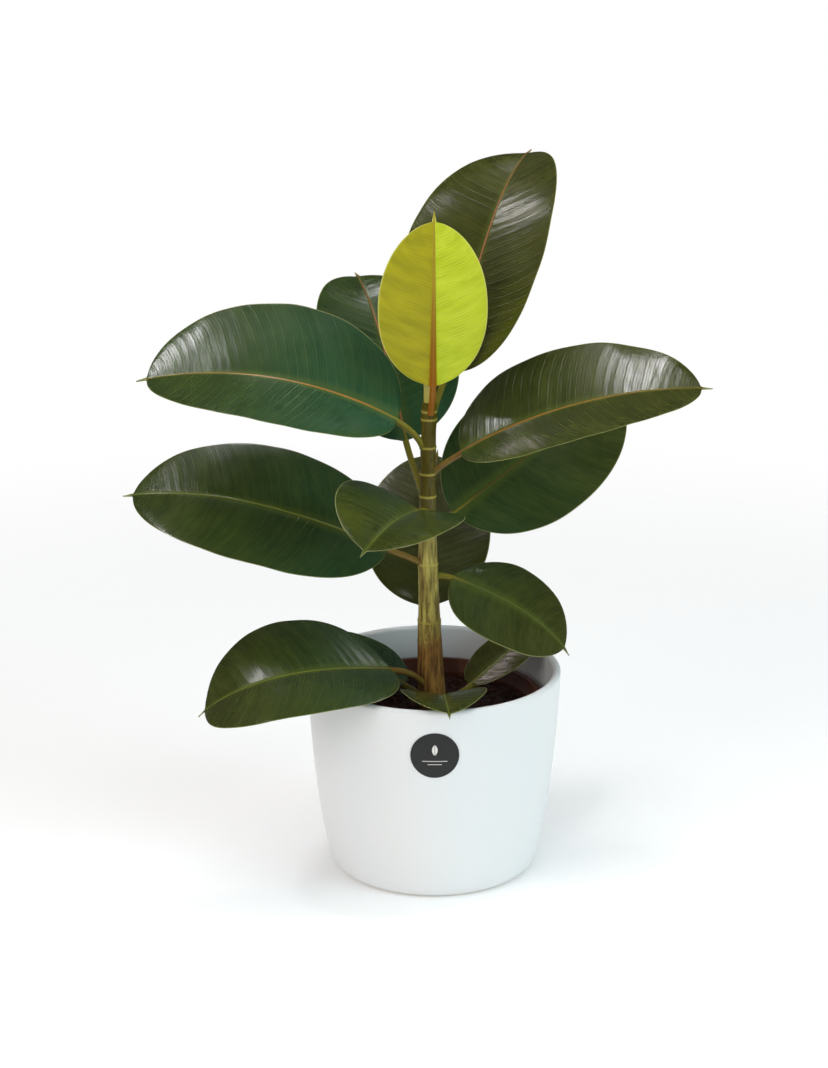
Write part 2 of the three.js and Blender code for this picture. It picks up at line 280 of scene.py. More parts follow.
def spun(profile, steps):
    """A closed body of revolution about Z, from (radius, height) points that start and end on the axis."""
    form = bmesh.new()
    line = [form.verts.new((radius, 0, height)) for radius, height in profile]
    edges = [form.edges.new(pair) for pair in zip(line, line[1:])]
    bmesh.ops.spin(form, geom=line + edges, cent=(0, 0, 0), axis=(0, 0, 1), angle=math.tau,
                   steps=steps, use_merge=True)
    bmesh.ops.remove_doubles(form, verts=form.verts, dist=1e-6)
    bmesh.ops.recalc_face_normals(form, faces=form.faces)
    return form


def arc(radius, height, bend, start, end, steps):
    """Profile points on an arc of radius `bend` about (radius, height), between two angles in degrees."""
    angles = [math.radians(start + (end - start) * i / steps) for i in range(steps + 1)]
    return [(radius + bend * math.cos(a), height + bend * math.sin(a)) for a in angles]


def lerp(low, high, share):
    return low + (high - low) * share


def clamp(value):
    return max(0.0, min(1.0, value))


def smooth(value):
    """An eased step from 0 to 1."""
    share = clamp(value)
    return share * share * (3 - 2 * share)


# %% [markdown]
# ## Cover pot
#
# The pot is slip-cast and glazed all over but for the ring that it stands on. A mould gives it one long
# gentle curve from heel to rim, so the outline is a quadratic curve and not a cone. A lathe shape is the
# natural way: one profile, spun round. The lip is a half circle as thick as the wall.

# %% The pot's profile
pot_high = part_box("pot")[1]
pot_height = pot_high.z
rim_radius = pot_high.x
heel_radius, heel_height = 0.074, 0.004
belly_radius, belly_height = 0.0855, 0.047
foot_radius = 0.065
foot_ring = 0.005  # its width
foot_hollow = 0.0012
wall = 0.0055
pot_floor = 0.008
inside_corner = 0.006


def on_wall(share):
    """A point of the pot's outer curve, from the heel at 0 to the rim at 1."""
    heel, belly, rim = (1 - share) ** 2, 2 * share * (1 - share), share ** 2
    radius = heel * heel_radius + belly * belly_radius + rim * rim_radius
    return radius, heel * heel_height + belly * belly_height + rim * pot_height


def wall_radius(height):
    """The pot's outer radius at a height, found by halving."""
    low, high = 0.0, 1.0
    for _ in range(30):
        half = (low + high) / 2
        low, high = (half, high) if on_wall(half)[1] < height else (low, half)
    return on_wall(low)[0]


lip = wall / 2
lip_height = pot_height - lip
wall_heights = [lerp(heel_height, lip_height, i / 40) for i in range(41)]
inside_foot = pot_floor + inside_corner
corner_radius = wall_radius(inside_foot) - wall - inside_corner

pot_profile = [(0, foot_hollow), (foot_radius - foot_ring - 0.001, foot_hollow)]
pot_profile += arc(foot_radius - foot_ring, foot_hollow - 0.0006, 0.0006, 160, 270, 4)
pot_profile += [(foot_radius, 0), (lerp(foot_radius, heel_radius, 0.4), 0.0004)]
pot_profile += [(lerp(foot_radius, heel_radius, 0.75), 0.0014)]
pot_profile += [(wall_radius(z), z) for z in wall_heights]
pot_profile += arc(wall_radius(lip_height) - lip, lip_height, lip, 12, 168, 12)
pot_profile += [(wall_radius(z) - wall, z) for z in reversed(wall_heights) if z > inside_foot]
pot_profile += arc(corner_radius, inside_foot, inside_corner, 0, -90, 8)
pot_profile += [(0, pot_floor)]
print("the pot's profile has", len(pot_profile), "points, for a rim", 2 * rim_radius, "m across")

# %% [markdown]
# White glaze is never one white. It pools a little darker and cooler where it is thick, shows faint
# pinholes, and its gloss wanders, so the reflections break up slightly. The ring underneath is
# bare fired clay, rough and creamier.

# %% The glaze
glaze = Finish("white_glaze")
pooling = glaze.noise(14, 2, (1, 1, 0.5))
pinholes = glaze.ease(glaze.cells(420), 0.0, 0.09, 1.0, 0.0)
white = glaze.mix(pooling, paint(231, 229, 226), paint(223, 226, 228))
white = glaze.mix(glaze.times(pinholes, 0.12), white, paint(196, 190, 180))
bare = glaze.ease(glaze.axis(glaze.place, 2), 0.0006, 0.0016, 1.0, 0.0)
grit = glaze.noise(1500, 4)
glaze.relief(glaze.less(pooling, glaze.times(pinholes, 0.06)), 0.0004)
glaze.set(
    base_color=glaze.mix(bare, white, glaze.mix(grit, paint(214, 204, 186), paint(232, 224, 208))),
    roughness=glaze.plus(glaze.ease(pooling, 0.2, 0.8, 0.3, 0.4), glaze.times(bare, 0.5)),
)
piece(spun(pot_profile, 144), "pot", glaze.material)

# %% [markdown]
# ## Label
#
# A round paper sticker lies on the curved wall. The disc is spun flat, from its middle outwards, and then
# each point is laid on the wall, so it bends exactly as the pot does. Paper has thickness, so solidify
# gives it a real edge. What is printed on it is plain: a small leaf and two short rules.

# %% The label's form
label_low, label_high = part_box("pot_label")
label_radius = (label_high.x - label_low.x) / 2
label_height = (label_high.z + label_low.z) / 2
paper_thickness = 0.0003
paper_gap = 0.0001

label = bmesh.new()
spoke = [label.verts.new((label_radius * i / 12, 0, 0)) for i in range(13)]
spoke_edges = [label.edges.new(pair) for pair in zip(spoke, spoke[1:])]
bmesh.ops.spin(label, geom=spoke + spoke_edges, cent=(0, 0, 0), axis=(0, 1, 0), angle=math.tau,
               steps=96, use_merge=True)
bmesh.ops.remove_doubles(label, verts=label.verts, dist=1e-6)
for vert in label.verts:
    height = label_height + vert.co.z
    vert.co = (vert.co.x, -math.sqrt((wall_radius(height) + paper_gap) ** 2 - vert.co.x ** 2), height)
bmesh.ops.recalc_face_normals(label, faces=label.faces)
facing = sum(face.normal.y for face in label.faces)
if facing > 0:
    bmesh.ops.reverse_faces(label, faces=label.faces)
bmesh.ops.solidify(label, geom=label.faces[:], thickness=-paper_thickness)
bmesh.ops.recalc_face_normals(label, faces=label.faces)
print("the label is", round(2000 * label_radius, 1), "mm across")

# %% The label's print
ink = Finish("black_paper")
across = ink.axis(ink.place, 0)
up = ink.less(ink.axis(ink.place, 2), label_height)


def printed_band(value, middle_at, half):
    """1 where a value is within `half` of a place, and 0 elsewhere, with a soft printed edge."""
    off = ink.math("ABSOLUTE", ink.less(value, middle_at))
    return ink.ease(off, half - 0.0001, half + 0.0001, 1.0, 0.0)


def printed_rule(height, half_length):
    """A rule across the label's middle, with its height and half its length."""
    row = printed_band(up, height, 0.00022)
    return ink.times(row, printed_band(across, 0.0, half_length))


leaf_middle = 0.004
leaf_bend = 0.0052  # the two arcs that bound the small leaf
lobe = ink.plus(ink.math("ABSOLUTE", across), leaf_bend - 0.0019)
rise = ink.less(up, leaf_middle)
off_arc = ink.math("SQRT", ink.plus(ink.math("POWER", lobe, 2.0), ink.math("POWER", rise, 2.0)))
small_leaf = ink.ease(off_arc, leaf_bend - 0.0001, leaf_bend + 0.0001, 1.0, 0.0)
vein_gap = printed_band(across, 0.0, 0.00015)
small_leaf = ink.times(small_leaf, ink.less(1.0, vein_gap))
print_mask = ink.larger(small_leaf, printed_rule(-0.0042, 0.0085))
print_mask = ink.larger(print_mask, printed_rule(-0.0066, 0.0048))
fibre = ink.noise(900, 4)
ink.relief(fibre, 0.00003)
black = ink.mix(fibre, paint(22, 22, 22), paint(34, 33, 33))
ink.set(base_color=ink.mix(print_mask, black, paint(225, 222, 216)), roughness=0.55)
piece(label, "pot_label", ink.material, crease=30)

# %% [markdown]
# ## Nursery pot
#
# The plant still stands in the thin plastic pot that it was grown in. It is moulded, with a rolled rim
# that a hand or a machine grips, a small ledge inside so that stacked pots come apart, and holes in the
# floor that let the water out. The wall is a lathe shape again, and the holes are cut by a boolean.

# %% The nursery pot
nursery_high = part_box("nursery_pot")[1]
nursery_rim = nursery_high.z
nursery_radius = nursery_high.x
base_radius = 0.055
skin = 0.0015
rim_overhang = 0.0025
rim_drop = 0.007
drain_count, drain_radius, drain_circle = 5, 0.004, 0.036
rim_curl = 0.0012


def nursery_wall(height):
    share = (height - pot_floor) / (nursery_rim - pot_floor)
    return lerp(base_radius, nursery_radius - rim_overhang, share)


def nursery_side(low, high, inwards):
    """Profile points up or down the wall, so far inside its outer face."""
    heights = [lerp(low, high, i / 12) for i in range(13)]
    return [(nursery_wall(height) - inwards, height) for height in heights]


rim_foot = nursery_rim - rim_drop
ledge = nursery_rim - 0.0095
inner_curl = 0.6 * rim_curl
nursery_profile = [(0, pot_floor), (base_radius - 0.003, pot_floor)]
nursery_profile += [(base_radius - 0.0009, pot_floor + 0.0009)]
nursery_profile += nursery_side(pot_floor + 0.003, rim_foot - 0.001, 0)
nursery_profile += [(nursery_radius - 0.0006, rim_foot), (nursery_radius, rim_foot + 0.0006)]
nursery_profile += arc(nursery_radius - rim_curl, nursery_rim - rim_curl, rim_curl, 0, 90, 6)
nursery_profile += arc(nursery_wall(nursery_rim) - skin + inner_curl, nursery_rim - inner_curl,
                       inner_curl, 90, 180, 4)
nursery_profile += [(nursery_wall(ledge) - skin, ledge + 0.0006)]
nursery_profile += [(nursery_wall(ledge) - skin - 0.0007, ledge)]
nursery_profile += nursery_side(ledge - 0.002, pot_floor + 0.004, skin + 0.0004)
nursery_profile += [(base_radius - skin - 0.003, pot_floor + skin), (0, pot_floor + skin)]

# %% The nursery pot's finish
plastic = Finish("brown_plastic")
scuffs = plastic.ease(plastic.noise(60, 6, (1, 1, 0.15), 0.7), 0.5, 0.75)
dust = plastic.ease(plastic.noise(35, 5), 0.45, 0.8)
brown = plastic.mix(scuffs, paint(88, 48, 34), paint(122, 74, 54))
plastic.relief(plastic.noise(700, 3), 0.00005)
plastic.set(
    base_color=plastic.mix(plastic.times(dust, 0.5), brown, paint(62, 38, 28)),
    roughness=plastic.ease(scuffs, 0.0, 1.0, 0.42, 0.6),
)
nursery = piece(spun(nursery_profile, 120), "nursery_pot", plastic.material)

# %% The drain holes
drill_form = bmesh.new()
for i in range(drain_count):
    turned = Matrix.Rotation(math.tau * i / drain_count, 4, "Z")
    spot = turned @ Matrix.Translation((drain_circle, 0, pot_floor))
    bmesh.ops.create_cone(drill_form, cap_ends=True, segments=24, radius1=drain_radius,
                          radius2=drain_radius, depth=6 * skin, matrix=spot)
drill_mesh = bpy.data.meshes.new("drill")
drill_form.to_mesh(drill_mesh)
drill_form.free()
drill = bpy.data.objects.new("drill", drill_mesh)
bpy.context.scene.collection.objects.link(drill)
cut = nursery.modifiers.new("drain_holes", "BOOLEAN")
cut.operation = "DIFFERENCE"
cut.object = drill
pierced = bpy.data.meshes.new_from_object(nursery.evaluated_get(bpy.context.evaluated_depsgraph_get()))
nursery.modifiers.remove(cut)
nursery.data = pierced
bpy.data.objects.remove(drill)
print("the nursery pot has", drain_count, "drain holes and", len(pierced.polygons), "faces")

# %% [markdown]
# ## The stem's line
#
# The soil needs to know where the stem comes up, so the stem's line comes first. It leans a little and
# thins towards the tip. The same line is used for the stem, for its socket in the soil and for the place
# where each leaf starts.

# %% The stem's line
stem_low, stem_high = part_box("stem")
nursery_gap = 0.0003
soil_below_rim = 0.033
soil_top = pot_height - soil_below_rim
stem_height = stem_high.z - soil_top
root_depth = soil_top - stem_low.z
stem_base, stem_tip, stem_taper = 0.0105, 0.005, 1.8
stem_foot, stem_lean = -0.001, 0.0036


def stem_at(height):
    """The stem's centre and radius at a height above the soil."""
    share = height / stem_height
    lean = stem_lean * math.sin(0.75 * math.pi * max(0.0, share))
    radius = stem_tip + (stem_base - stem_tip) * (1 - clamp(share)) ** stem_taper
    return Vector((stem_foot - lean, 0, soil_top + height)), radius


print("the stem stands", round(stem_height, 4), "m above the soil and", round(root_depth, 4), "m below it")

# %% [markdown]
# ## Potting soil
#
# Damp potting soil is crumbs of peat and bark that have settled into a low mound. A bump in the shading
# alone looks like brown paper at this distance, so the surface itself is roughened, and several hundred
# small angular crumbs are half sunk in it. The body below is a plain plug with a socket for the stem.

# %% The soil's surface
soil_mound = 0.0015
soil_rings = 46
soil_edge = nursery_wall(soil_top) - skin - nursery_gap - 0.0004
socket = stem_at(0)[1] + 0.0002
soil_floor = pot_floor + skin + nursery_gap


def mound(radius):
    """The height of the settled soil, before its crumbs."""
    share = radius / soil_edge
    return soil_top + soil_mound * (1 - smooth((share - 0.4) / 0.6))


def crumbled(place):
    """How far the surface stands up or down there."""
    coarse = noise.fractal(place * 90, 0.9, 2.1, 4)
    return 0.0019 * coarse + 0.0008 * noise.noise(place * 420)


soil_profile = [(0, soil_top - root_depth - nursery_gap), (socket, soil_top - root_depth - nursery_gap)]
soil_profile += [(lerp(socket, soil_edge, i / soil_rings), soil_top) for i in range(soil_rings + 1)]
soil_profile += [(nursery_wall(soil_floor + 0.004) - skin - 0.0009, soil_floor + 0.004)]
soil_profile += [(base_radius - 0.006, soil_floor), (0, soil_floor)]
soil = spun(soil_profile, 200)
for vert in soil.verts:
    radius = math.hypot(vert.co.x, vert.co.y)
    if vert.co.z > soil_top - 1e-5:
        level = mound(radius) + crumbled(vert.co) * smooth((soil_edge - radius) / 0.002)
        vert.co.z = min(level, soil_top + 0.006)
    vert.co.x += stem_foot * (1 - smooth((radius - socket) / 0.03))

# %% The crumbs
random.seed(11)
for _ in range(950):
    spread = math.sqrt(random.random())
    away = lerp(socket + 0.002, soil_edge - 0.003, spread)
    turn = random.random() * math.tau
    size = 0.0006 + 0.0021 * random.random() ** 2.5
    lie = Euler([random.random() * math.tau for _ in range(3)]).to_matrix().to_4x4()
    shape = Matrix.Diagonal((1.0, random.uniform(0.5, 0.9), random.uniform(0.3, 0.7), 1.0))
    ground = Vector((away * math.cos(turn), away * math.sin(turn), soil_top))
    ground.z = mound(away) + crumbled(ground) + 0.25 * size
    bmesh.ops.create_icosphere(soil, subdivisions=1, radius=size,
                               matrix=Matrix.Translation(ground) @ lie @ shape)

# %% The soil's finish
earth = Finish("damp_soil")
grain = earth.noise(260, 6, roughness=0.65)
wet = earth.ease(earth.noise(22, 3), 0.4, 0.65)
crumb_tone = earth.ease(earth.noise(150, 2), 0.35, 0.7)
dark = earth.mix(grain, paint(30, 15, 11), paint(64, 33, 24))
dark = earth.mix(earth.times(crumb_tone, 0.6), dark, paint(92, 50, 36))
earth.relief(earth.noise(1400, 5, roughness=0.7), 0.0003)
earth.set(
    base_color=earth.mix(earth.times(wet, 0.5), dark, paint(26, 14, 12)),
    roughness=earth.ease(wet, 0.0, 1.0, 0.95, 0.6),
)
piece(soil, "potting_soil", earth.material, crease=60)

# %% [markdown]
# ## Stem
#
# The stem is bark at its foot, yellow-brown and ridged in the middle and still green at its tip. Each leaf
# leaves a ring where its sheath was. A grid rolled into a tube takes all of that: its rows carry the rings
# and swellings, and its columns the ridges of the bark. Rolling a grid is also how the leaves are made.


# %% Rolling a grid
def rolled(columns, rows, place_on, layers=()):
    """A closed skin: a grid whose two long sides meet, placed by place_on(column, row, vert, layers)."""
    form = bmesh.new()
    kept = {name: getattr(form.verts.layers, kind).new(name) for name, kind in layers}
    bmesh.ops.create_grid(form, x_segments=columns, y_segments=rows, size=0.5)
    for vert in form.verts:
        column = round((vert.co.x + 0.5) * columns) % columns
        row = round((vert.co.y + 0.5) * rows)
        place_on(column, row, vert, kept)
    bmesh.ops.remove_doubles(form, verts=form.verts, dist=2e-6)
    bmesh.ops.recalc_face_normals(form, faces=form.faces)
    return form


# %% The stem's form
stem_columns, stem_rows = 56, 300
ring_heights = [z - 0.112 for z in (0.179, 0.221, 0.270, 0.286, 0.3046, 0.3245, 0.330)]  # above the soil
leaf_scars = [0.030, 0.052, 0.083, 0.095, 0.141]


def stem_relief(height, turn):
    """What rings, scars and bark add to the stem's radius."""
    woody = 1 - smooth(height / (0.62 * stem_height))
    rings = sum(math.exp(-((height - at) / 0.0009) ** 2) for at in ring_heights)
    swell = sum(math.exp(-((height - at + 0.002) / 0.004) ** 2) for at in ring_heights)
    scars = sum(math.exp(-((height - at) / 0.0012) ** 2) for at in leaf_scars)
    around = Vector((math.cos(turn), math.sin(turn), 0))
    ridges = noise.fractal(around * 3.2 + Vector((0, 0, height * 22)), 1.0, 2.0, 4)
    lumps = noise.noise(around * 1.1 + Vector((5, 0, height * 30)))
    bark = (0.00042 * ridges + 0.0005 * lumps) * lerp(0.35, 1.0, woody)
    return 0.00038 * rings + 0.00028 * swell + 0.00022 * scars + bark


def place_on_stem(column, row, vert, _):
    share = clamp((row - 1) / (stem_rows - 2))
    height = lerp(-root_depth, stem_height, share)
    centre, radius = stem_at(height)
    turn = math.tau * column / stem_columns
    out = radius + (stem_relief(height, turn) if height > 0 else 0.0)
    if row in (0, stem_rows):
        out = 0.0
    vert.co = centre + Vector((out * math.cos(turn), out * math.sin(turn), 0))


stem = rolled(stem_columns, stem_rows, place_on_stem)

# %% [markdown]
# The bark's colour follows its age, which is its height. Long thin noise makes the streaks, a second one
# the dark lenticels, and a band of pale yellow marks each ring. Cork at the foot is dull, and the green tip
# has a slight waxy gloss.

# %% The bark
bark = Finish("bark")
level = bark.axis(bark.place, 2)
streaks = bark.ease(bark.noise(250, 4, (1, 1, 0.13), 0.6), 0.24, 0.74)
fine_streaks = bark.ease(bark.noise(620, 3, (1, 1, 0.14)), 0.46, 0.66)
pores = bark.ease(bark.noise(560, 2, (1, 1, 0.4)), 0.66, 0.74)
patches = bark.noise(70, 3, (1, 1, 0.5))
cork = bark.mix(streaks, paint(82, 52, 16), paint(168, 124, 60))
straw = bark.mix(streaks, paint(98, 74, 16), paint(196, 182, 92))
green = bark.mix(patches, paint(72, 60, 8), paint(104, 96, 22))
wander = bark.plus(level, bark.times(bark.less(patches, 0.5), 0.03))
skin_tone = bark.mix(bark.ease(wander, soil_top + 0.048, soil_top + 0.070), cork, straw)
skin_tone = bark.mix(bark.ease(wander, soil_top + 0.110, soil_top + 0.150), skin_tone, green)
skin_tone = bark.mix(bark.times(fine_streaks, 0.5), skin_tone, paint(62, 40, 12))
skin_tone = bark.mix(bark.times(pores, 0.7), skin_tone, paint(58, 38, 16))
rings = 0.0
for at in ring_heights:
    off = bark.math("ABSOLUTE", bark.less(level, soil_top + at))
    rings = bark.larger(rings, bark.ease(off, 0.0003, 0.0012, 1.0, 0.0))
skin_tone = bark.mix(bark.times(rings, 0.75), skin_tone, paint(176, 160, 70))
# darker towards the soil line, over the stem's lowest centimetre
darker_at_soil_line = bark.ease(level, soil_top + 0.002, soil_top + 0.011, 1.0, 0.0)
skin_tone = bark.mix(bark.times(darker_at_soil_line, 0.6), skin_tone, paint(52, 32, 18))
bark.relief(bark.less(streaks, bark.times(pores, 0.4)), 0.0005)
bark.set(base_color=skin_tone, roughness=bark.ease(level, soil_top + 0.06, soil_top + 0.16, 0.72, 0.45))
piece(stem, "stem", bark.material)

# %% [markdown]
# ## Terminal bud
#
# The next leaf waits at the tip, rolled up in a slender pointed sheath. It is another rolled grid whose
# radius narrows to the point, with a shallow spiral groove where the sheath's edge overlaps itself.

# %% The terminal bud
bud_low, bud_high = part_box("terminal_bud")
bud_columns, bud_rows = 40, 90
bud_radius, bud_point, bud_lean, bud_narrowing = 0.004, 0.0005, 0.005, 1.6
bud_foot = stem_at(stem_height)[0]
bud_foot.z = bud_low.z


def place_on_bud(column, row, vert, _):
    share = clamp((row - 1) / (bud_rows - 2))
    turn = math.tau * column / bud_columns
    groove = math.cos(turn - 2.2 * share - 0.6)
    radius = lerp(bud_radius, bud_point, share ** bud_narrowing)
    radius *= 1 - 0.1 * smooth((groove - 0.9) / 0.1) + 0.03 * groove
    if row in (0, bud_rows):
        radius = 0.0
    lean = Vector((-bud_lean * share ** 2, 0, (bud_high.z - bud_low.z) * share))
    vert.co = bud_foot + lean + Vector((radius * math.cos(turn), radius * math.sin(turn), 0))


sheath = Finish("bud_sheath")
bud_level = sheath.axis(sheath.place, 2)
blush = sheath.noise(260, 3, (1, 1, 0.1))
pale = sheath.mix(blush, paint(206, 190, 110), paint(232, 220, 158))
pale = sheath.mix(sheath.ease(bud_level, bud_low.z, bud_high.z), paint(188, 176, 84), pale)
sheath.relief(sheath.noise(900, 2, (1, 1, 0.08)), 0.00015)
sheath.set(base_color=pale, roughness=0.42)
piece(rolled(bud_columns, bud_rows, place_on_bud), "terminal_bud", sheath.material)

# %% [markdown]
# ## Leaves
#
# A rubber plant's leaf is one thing from its stalk to its drip tip. It could be a flat card with a picture,
# but then it has no thickness, no rib and no way for light to run over it. Here each leaf is one rolled
# grid: a round tube along the stalk, which is pressed flat where the blade starts, with the midrib left
# standing along its underside. The blades arch, fold and twist, so each leaf has its own few angles.

# %% The leaves' angles
# From the tip of the stem down. at: its place on the stem, from 0 at the soil to 1 at the tip. side, rise:
# the way its stalk sets out. heading, pitch, roll: the way its blade sets out, in degrees, with heading
# counted from +X towards +Y. arch, bow, twist: how far the blade turns by its tip, and bend: how late it
# arches. fold, cup: the angle of each half to the midrib's plane, and how far that turns by the margin.
# over_rim: the blade sets out that far above the line to the pot's rim. Lengths are in millimetres.
# rib, stalk_tone: the colours of its midrib and stalk. teal: how strong the painted bluish reflection is
# near its base, and warm: how far its green turns to olive brown.
plain_leaf = {"arch": 0, "bow": 0, "twist": 0, "bend": 1.3, "cup": -6, "over_rim": False, "young": False,
              "rib": "tan", "stalk_tone": "olive", "blue_sheen": 0.3, "warm": 0.3}
leaf_table = {
    "new_leaf": dict(
        at=0.97, side=285, rise=60, stalk=22, heading=275, pitch=84, roll=0, length=120, width=75,
        arch=8, bend=1.5, fold=14, cup=-10, young=True,
    ),
    "tall_right_leaf": dict(
        at=0.95, side=60, rise=55, stalk=34, heading=35, pitch=67, roll=17, length=184, width=116,
        arch=-55, bend=2.5, bow=17, fold=15, rib="pink", blue_sheen=0.0, warm=0.5,
    ),
    "upper_left_leaf": dict(
        at=0.86, side=205, rise=65, stalk=27, heading=184, pitch=30, roll=-33, length=185,
        width=122, arch=-44, bend=1, bow=12, twist=2, fold=19, cup=-8, rib="tan", blue_sheen=0.8,
        warm=0.1,
    ),
    "upper_right_leaf": dict(
        at=0.78, side=-10, rise=45, stalk=24, heading=-5, pitch=32, roll=27, length=180, width=103,
        arch=-36, bend=1, bow=-6, fold=16, rib="tan", stalk_tone="russet", blue_sheen=0.2, warm=0.5,
    ),
    "tall_left_leaf": dict(
        at=0.705, side=135, rise=60, stalk=40, heading=121, pitch=62, roll=-8, length=146,
        width=102, arch=-50, bend=2, bow=-8, fold=14, rib="pink", blue_sheen=0.7, warm=0.0,
    ),
    "front_leaf": dict(
        at=0.66, side=255, rise=25, stalk=16, heading=252, pitch=12, roll=-14, length=108, width=88,
        arch=-32, fold=20, cup=-8, rib="sage", blue_sheen=0.35, warm=0.3,
    ),
    "back_right_leaf": dict(
        at=0.57, side=60, rise=25, stalk=26, heading=35, pitch=26, roll=50, length=172, width=104,
        arch=-5, fold=8, cup=-2, rib="olive", blue_sheen=0.35, warm=0.3,
    ),
    "middle_left_leaf": dict(
        at=0.49, side=195, rise=30, stalk=26, heading=184, pitch=24, roll=-36, length=192,
        width=106, arch=-42, bend=1.8, bow=4, fold=4, cup=-4, rib="lime", stalk_tone="russet",
        blue_sheen=0.5, warm=0.2,
    ),
    "lower_right_leaf": dict(
        at=0.44, side=20, rise=10, stalk=12, heading=-27, pitch=-12, roll=30, length=104, width=67,
        arch=-65, bend=1.8, fold=4, cup=-20, rib="sage", blue_sheen=0.3, warm=0.5,
    ),
    "back_leaf": dict(
        at=0.27, side=95, rise=30, stalk=18, heading=92, pitch=36, roll=0, length=150, width=92,
        arch=-6, bow=-10, fold=10, blue_sheen=0.1, warm=0.6,
    ),
    "lower_left_leaf": dict(
        at=0.1, side=225, rise=48, stalk=34, heading=214, pitch=5.5, roll=-17, length=150,
        width=106, arch=-76, bend=1.6, bow=-30, twist=-6, fold=14, cup=-14, over_rim=True,
        rib="lime", stalk_tone="russet", blue_sheen=0.45, warm=0.4,
    ),
    "low_back_left_leaf": dict(
        at=0.04, side=165, rise=45, stalk=14, heading=160, pitch=10, roll=2, length=92, width=68,
        arch=-18, fold=8, cup=-4, over_rim=True, blue_sheen=0.6, warm=0.0,
    ),
    "low_right_leaf": dict(
        at=0.03, side=5, rise=20, stalk=22, heading=40, pitch=8, roll=5, length=86, width=42,
        fold=10, over_rim=True, rib="lime", blue_sheen=0.0, warm=0.7,
    ),
    "low_front_leaf": dict(
        at=0.03, side=290, rise=50, stalk=15, heading=274, pitch=13, roll=0, length=88, width=60,
        arch=-40, bend=1.2, fold=12, over_rim=True, rib="lime", blue_sheen=0.0, warm=0.3,
    ),
}
MM = 0.001
print(len(leaf_table), "leaves")

# %% [markdown]
# The midrib is a line that carries a small frame with it: along, left and up. At each step the frame turns
# a little, which arches the blade, bows it sideways and twists it. The stalk is a smooth curve from the
# stem to the midrib's first point, and it takes the same frame along.


# %% The midrib's line
def way(heading, pitch):
    """The direction with a heading and a pitch, both in degrees."""
    turn, climb = math.radians(heading), math.radians(pitch)
    return Vector((math.cos(climb) * math.cos(turn), math.cos(climb) * math.sin(turn), math.sin(climb)))


Station = namedtuple("Station", "point along left up")


def settled(name):
    """A leaf's angles, with its defaults and with what follows from the pot's rim."""
    leaf = {**plain_leaf, **leaf_table[name]}
    if leaf["over_rim"]:
        climb = soil_below_rim - leaf["at"] * stem_height
        leaf["pitch"] += math.degrees(math.atan2(climb, rim_radius))
    return leaf


def midrib(leaf, start, steps=48):
    """The midrib as a list of stations, from the blade's base to its tip."""
    tilt = (math.radians(leaf["roll"]), -math.radians(leaf["pitch"]), math.radians(leaf["heading"]))
    turn = Euler(tilt).to_quaternion()

    def station(point):
        return Station(point, *(turn @ Vector(axis) for axis in ((1, 0, 0), (0, 1, 0), (0, 0, 1))))

    line = [station(start)]
    for i in range(1, steps + 1):
        bent = (i / steps) ** leaf["bend"] - ((i - 1) / steps) ** leaf["bend"]
        arched = math.radians(leaf["arch"]) * bent
        turn = turn @ Euler((math.radians(leaf["twist"]) / steps, -arched,
                             math.radians(leaf["bow"]) / steps)).to_quaternion()
        here = station(line[-1].point)
        onward = (line[-1].along + here.along).normalized()
        line.append(here._replace(point=here.point + onward * leaf["length"] * MM / steps))
    return line


def on_midrib(line, share):
    """The station at a share of the blade's length."""
    step = min(int(share * (len(line) - 1)), len(line) - 2)
    between = share * (len(line) - 1) - step
    point, *axes = (a.lerp(b, between) for a, b in zip(line[step], line[step + 1]))
    return Station(point, *(axis.normalized() for axis in axes))


# %% [markdown]
# The blade's outline is an oval that is widest just before its middle. It ends in a short narrow drip tip,
# which sheds the rain. A row of the rolled grid is close to its neighbours at the base, where the outline
# turns fastest, and at the tip.

# %% The blade's outline
blade_thickness = 0.0007
blade_widest = 0.46
drip_length, drip_half = 0.008, 0.0015
petiole_radius, rib_tip = 0.0022, 0.0004


def half_width(leaf, share):
    """Half the blade's width at a share of its length."""
    body = 1 - drip_length / (leaf["length"] * MM)
    x = share / body
    if x < blade_widest:
        oval = (1 - ((blade_widest - x) / blade_widest) ** 2.3) ** 0.52
    else:
        oval = (1 - min(1.0, (x - blade_widest) / (1 - blade_widest)) ** 2.1) ** 0.58
    drip = min(drip_half, drip_half * (1 - share) / (1 - body)) if share > 0.5 else 0.0
    return max(oval * leaf["width"] * MM / 2, drip)


leaf_columns = 88
stalk_rows, blade_rows = 16, 190


def row_shares():
    """Where the blade's rows lie, as shares of its length."""
    places = [(i + 0.5) / blade_rows for i in range(blade_rows)]
    gaps = [1 - 0.97 * math.exp(-x / 0.05) - 0.8 * math.exp(-(1 - x) / 0.04) for x in places]
    return [sum(gaps[:i]) / sum(gaps) for i in range(blade_rows + 1)]


def column_side(column):
    """A column's place across the blade, from 1 to -1, and whether it is on top (1) or underneath (-1)."""
    x = 1 - 4 * column / leaf_columns
    top = 1 if x >= -1 else -1
    x = x if top > 0 else -2 - x
    near = abs(x)
    return math.copysign(lerp(near, near * near * (3 - 2 * near), 0.8), x), top


shares = row_shares()
sides = [column_side(column) for column in range(leaf_columns)]

# %% [markdown]
# A row is a slice through the leaf. On the stalk it is a circle. Past the base it opens into a thin blade
# whose halves rise from the midrib and curl back, with the rib as a soft ridge below and a fine raised line
# above. The fine side veins of a rubber plant run almost straight out and turn to the tip at the margin,
# so the distance along the midrib, less a little for the distance from it, gives every vein one number.

# %% A slice of a leaf
Row = namedtuple("Row", "centre left up half rib share merge")
vein_gap_mm = 6.5


